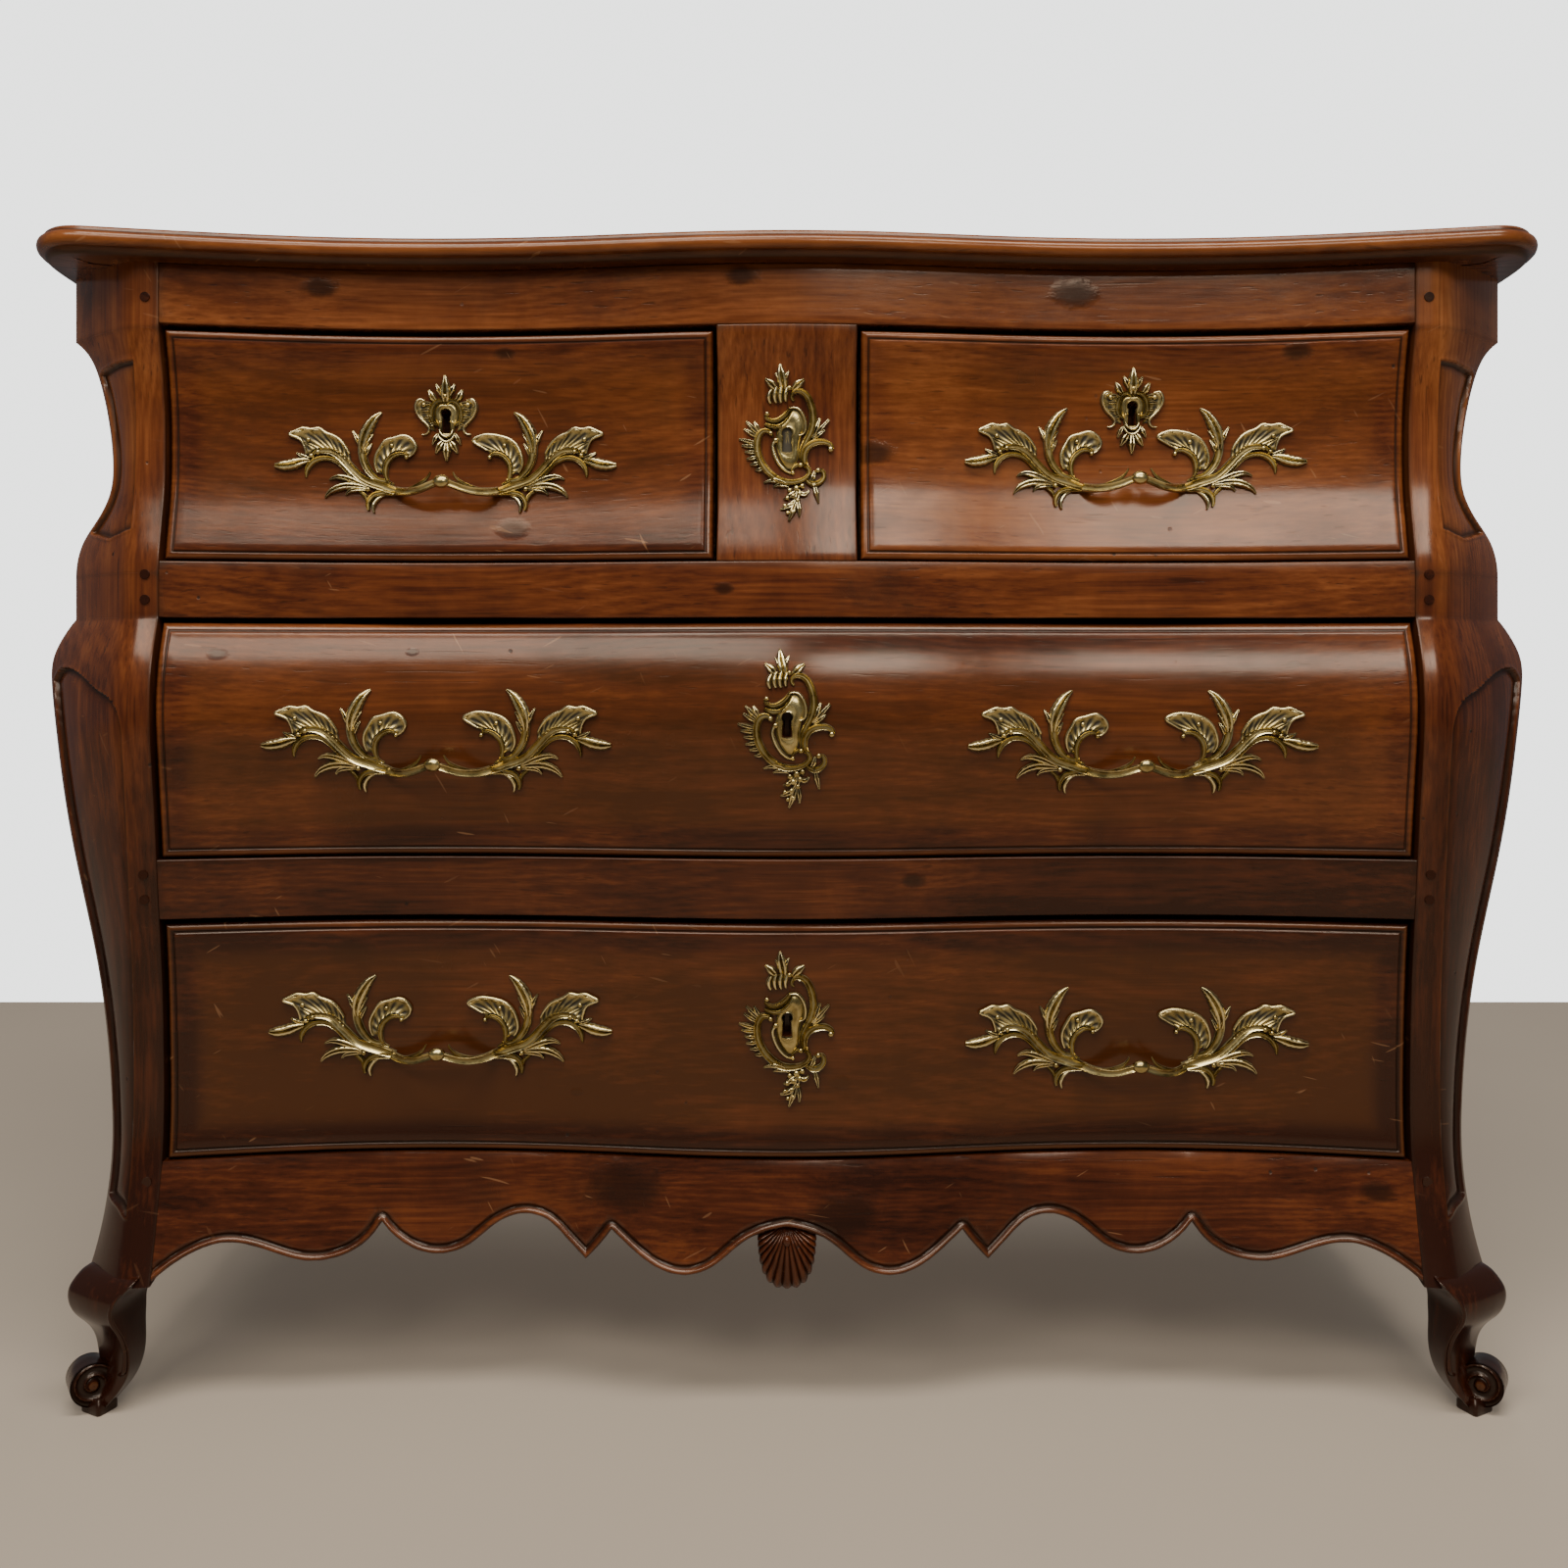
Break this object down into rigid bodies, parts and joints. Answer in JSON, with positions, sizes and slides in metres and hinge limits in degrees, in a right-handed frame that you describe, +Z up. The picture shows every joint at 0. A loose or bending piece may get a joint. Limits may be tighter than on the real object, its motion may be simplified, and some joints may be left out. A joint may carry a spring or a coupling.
{
  "type": "bombe chest of drawers",
  "caption": "Serpentine bombe chest of drawers with bulging sides, shaped drawer fronts on wooden runners, scalloped apron, scroll feet, cast brass handles and keyhole plates.",
  "frame": {"origin": "on the floor, under the middle of the chest's bounding box", "axes": "+X to the right seen from the front, +Y from the front into the chest, +Z up"},
  "size_m": [1.232, 0.6189, 0.93],
  "materials": {
    "waxed_walnut": "waxed and polished",
    "interior_pine": "bare, aged",
    "gilt_brass": "antique gilt",
    "lock_iron": "dark, wrought"
  },
  "bodies": {
    "case": {"top_board": "waxed_walnut", "top_rail": "waxed_walnut", "upper_divider_rail": "waxed_walnut", "lower_divider_rail": "waxed_walnut", "front_apron": "waxed_walnut", "apron_shell": "waxed_walnut", "centre_stile": "waxed_walnut", "stile_escutcheon": "gilt_brass", "stile_escutcheon_pins": "gilt_brass", "front_post_left": "waxed_walnut", "front_post_right": "waxed_walnut", "rear_post_left": "waxed_walnut", "rear_post_right": "waxed_walnut", "side_panel_left": "waxed_walnut", "side_panel_right": "waxed_walnut", "back_boards": "interior_pine", "back_rails": "interior_pine", "dust_boards": "interior_pine", "drawer_runners": "interior_pine", "drawer_guides": "interior_pine", "drawer_stops": "interior_pine", "joint_pegs": "waxed_walnut"},
    "upper_left_drawer": {"upper_left_drawer_front": "waxed_walnut", "upper_left_drawer_sides": "interior_pine", "upper_left_drawer_back": "interior_pine", "upper_left_drawer_bottom": "interior_pine", "upper_left_drawer_lock": "lock_iron", "upper_left_drawer_escutcheon": "gilt_brass", "upper_left_drawer_pins": "gilt_brass", "upper_left_drawer_handle": "gilt_brass"},
    "upper_right_drawer": {"upper_right_drawer_front": "waxed_walnut", "upper_right_drawer_sides": "interior_pine", "upper_right_drawer_back": "interior_pine", "upper_right_drawer_bottom": "interior_pine", "upper_right_drawer_lock": "lock_iron", "upper_right_drawer_escutcheon": "gilt_brass", "upper_right_drawer_pins": "gilt_brass", "upper_right_drawer_handle": "gilt_brass"},
    "middle_drawer": {"middle_drawer_front": "waxed_walnut", "middle_drawer_sides": "interior_pine", "middle_drawer_back": "interior_pine", "middle_drawer_bottom": "interior_pine", "middle_drawer_lock": "lock_iron", "middle_drawer_escutcheon": "gilt_brass", "middle_drawer_pins": "gilt_brass", "middle_drawer_left_handle": "gilt_brass", "middle_drawer_right_handle": "gilt_brass"},
    "lower_drawer": {"lower_drawer_front": "waxed_walnut", "lower_drawer_sides": "interior_pine", "lower_drawer_back": "interior_pine", "lower_drawer_bottom": "interior_pine", "lower_drawer_lock": "lock_iron", "lower_drawer_escutcheon": "gilt_brass", "lower_drawer_pins": "gilt_brass", "lower_drawer_left_handle": "gilt_brass", "lower_drawer_right_handle": "gilt_brass"},
    "upper_left_bolt": {"upper_left_drawer_bolt": "lock_iron"},
    "upper_right_bolt": {"upper_right_drawer_bolt": "lock_iron"},
    "middle_bolt": {"middle_drawer_bolt": "lock_iron"},
    "lower_bolt": {"lower_drawer_bolt": "lock_iron"}
  },
  "joints": [
    {"name": "upper_left_drawer_slide", "type": "slide", "parent": "case", "child": "upper_left_drawer", "axis": [0, -1, 0], "range_m": [0, 0.38]},
    {"name": "upper_right_drawer_slide", "type": "slide", "parent": "case", "child": "upper_right_drawer", "axis": [0, -1, 0], "range_m": [0, 0.38]},
    {"name": "middle_drawer_slide", "type": "slide", "parent": "case", "child": "middle_drawer", "axis": [0, -1, 0], "range_m": [0, 0.38]},
    {"name": "lower_drawer_slide", "type": "slide", "parent": "case", "child": "lower_drawer", "axis": [0, -1, 0], "range_m": [0, 0.38]},
    {"name": "upper_left_bolt_slide", "type": "slide", "parent": "upper_left_drawer", "child": "upper_left_bolt", "axis": [0, 0, 1], "range_m": [0, 0.008]},
    {"name": "upper_right_bolt_slide", "type": "slide", "parent": "upper_right_drawer", "child": "upper_right_bolt", "axis": [0, 0, 1], "range_m": [0, 0.008]},
    {"name": "middle_bolt_slide", "type": "slide", "parent": "middle_drawer", "child": "middle_bolt", "axis": [0, 0, 1], "range_m": [0, 0.008]},
    {"name": "lower_bolt_slide", "type": "slide", "parent": "lower_drawer", "child": "lower_bolt", "axis": [0, 0, 1], "range_m": [0, 0.008]}
  ]
}
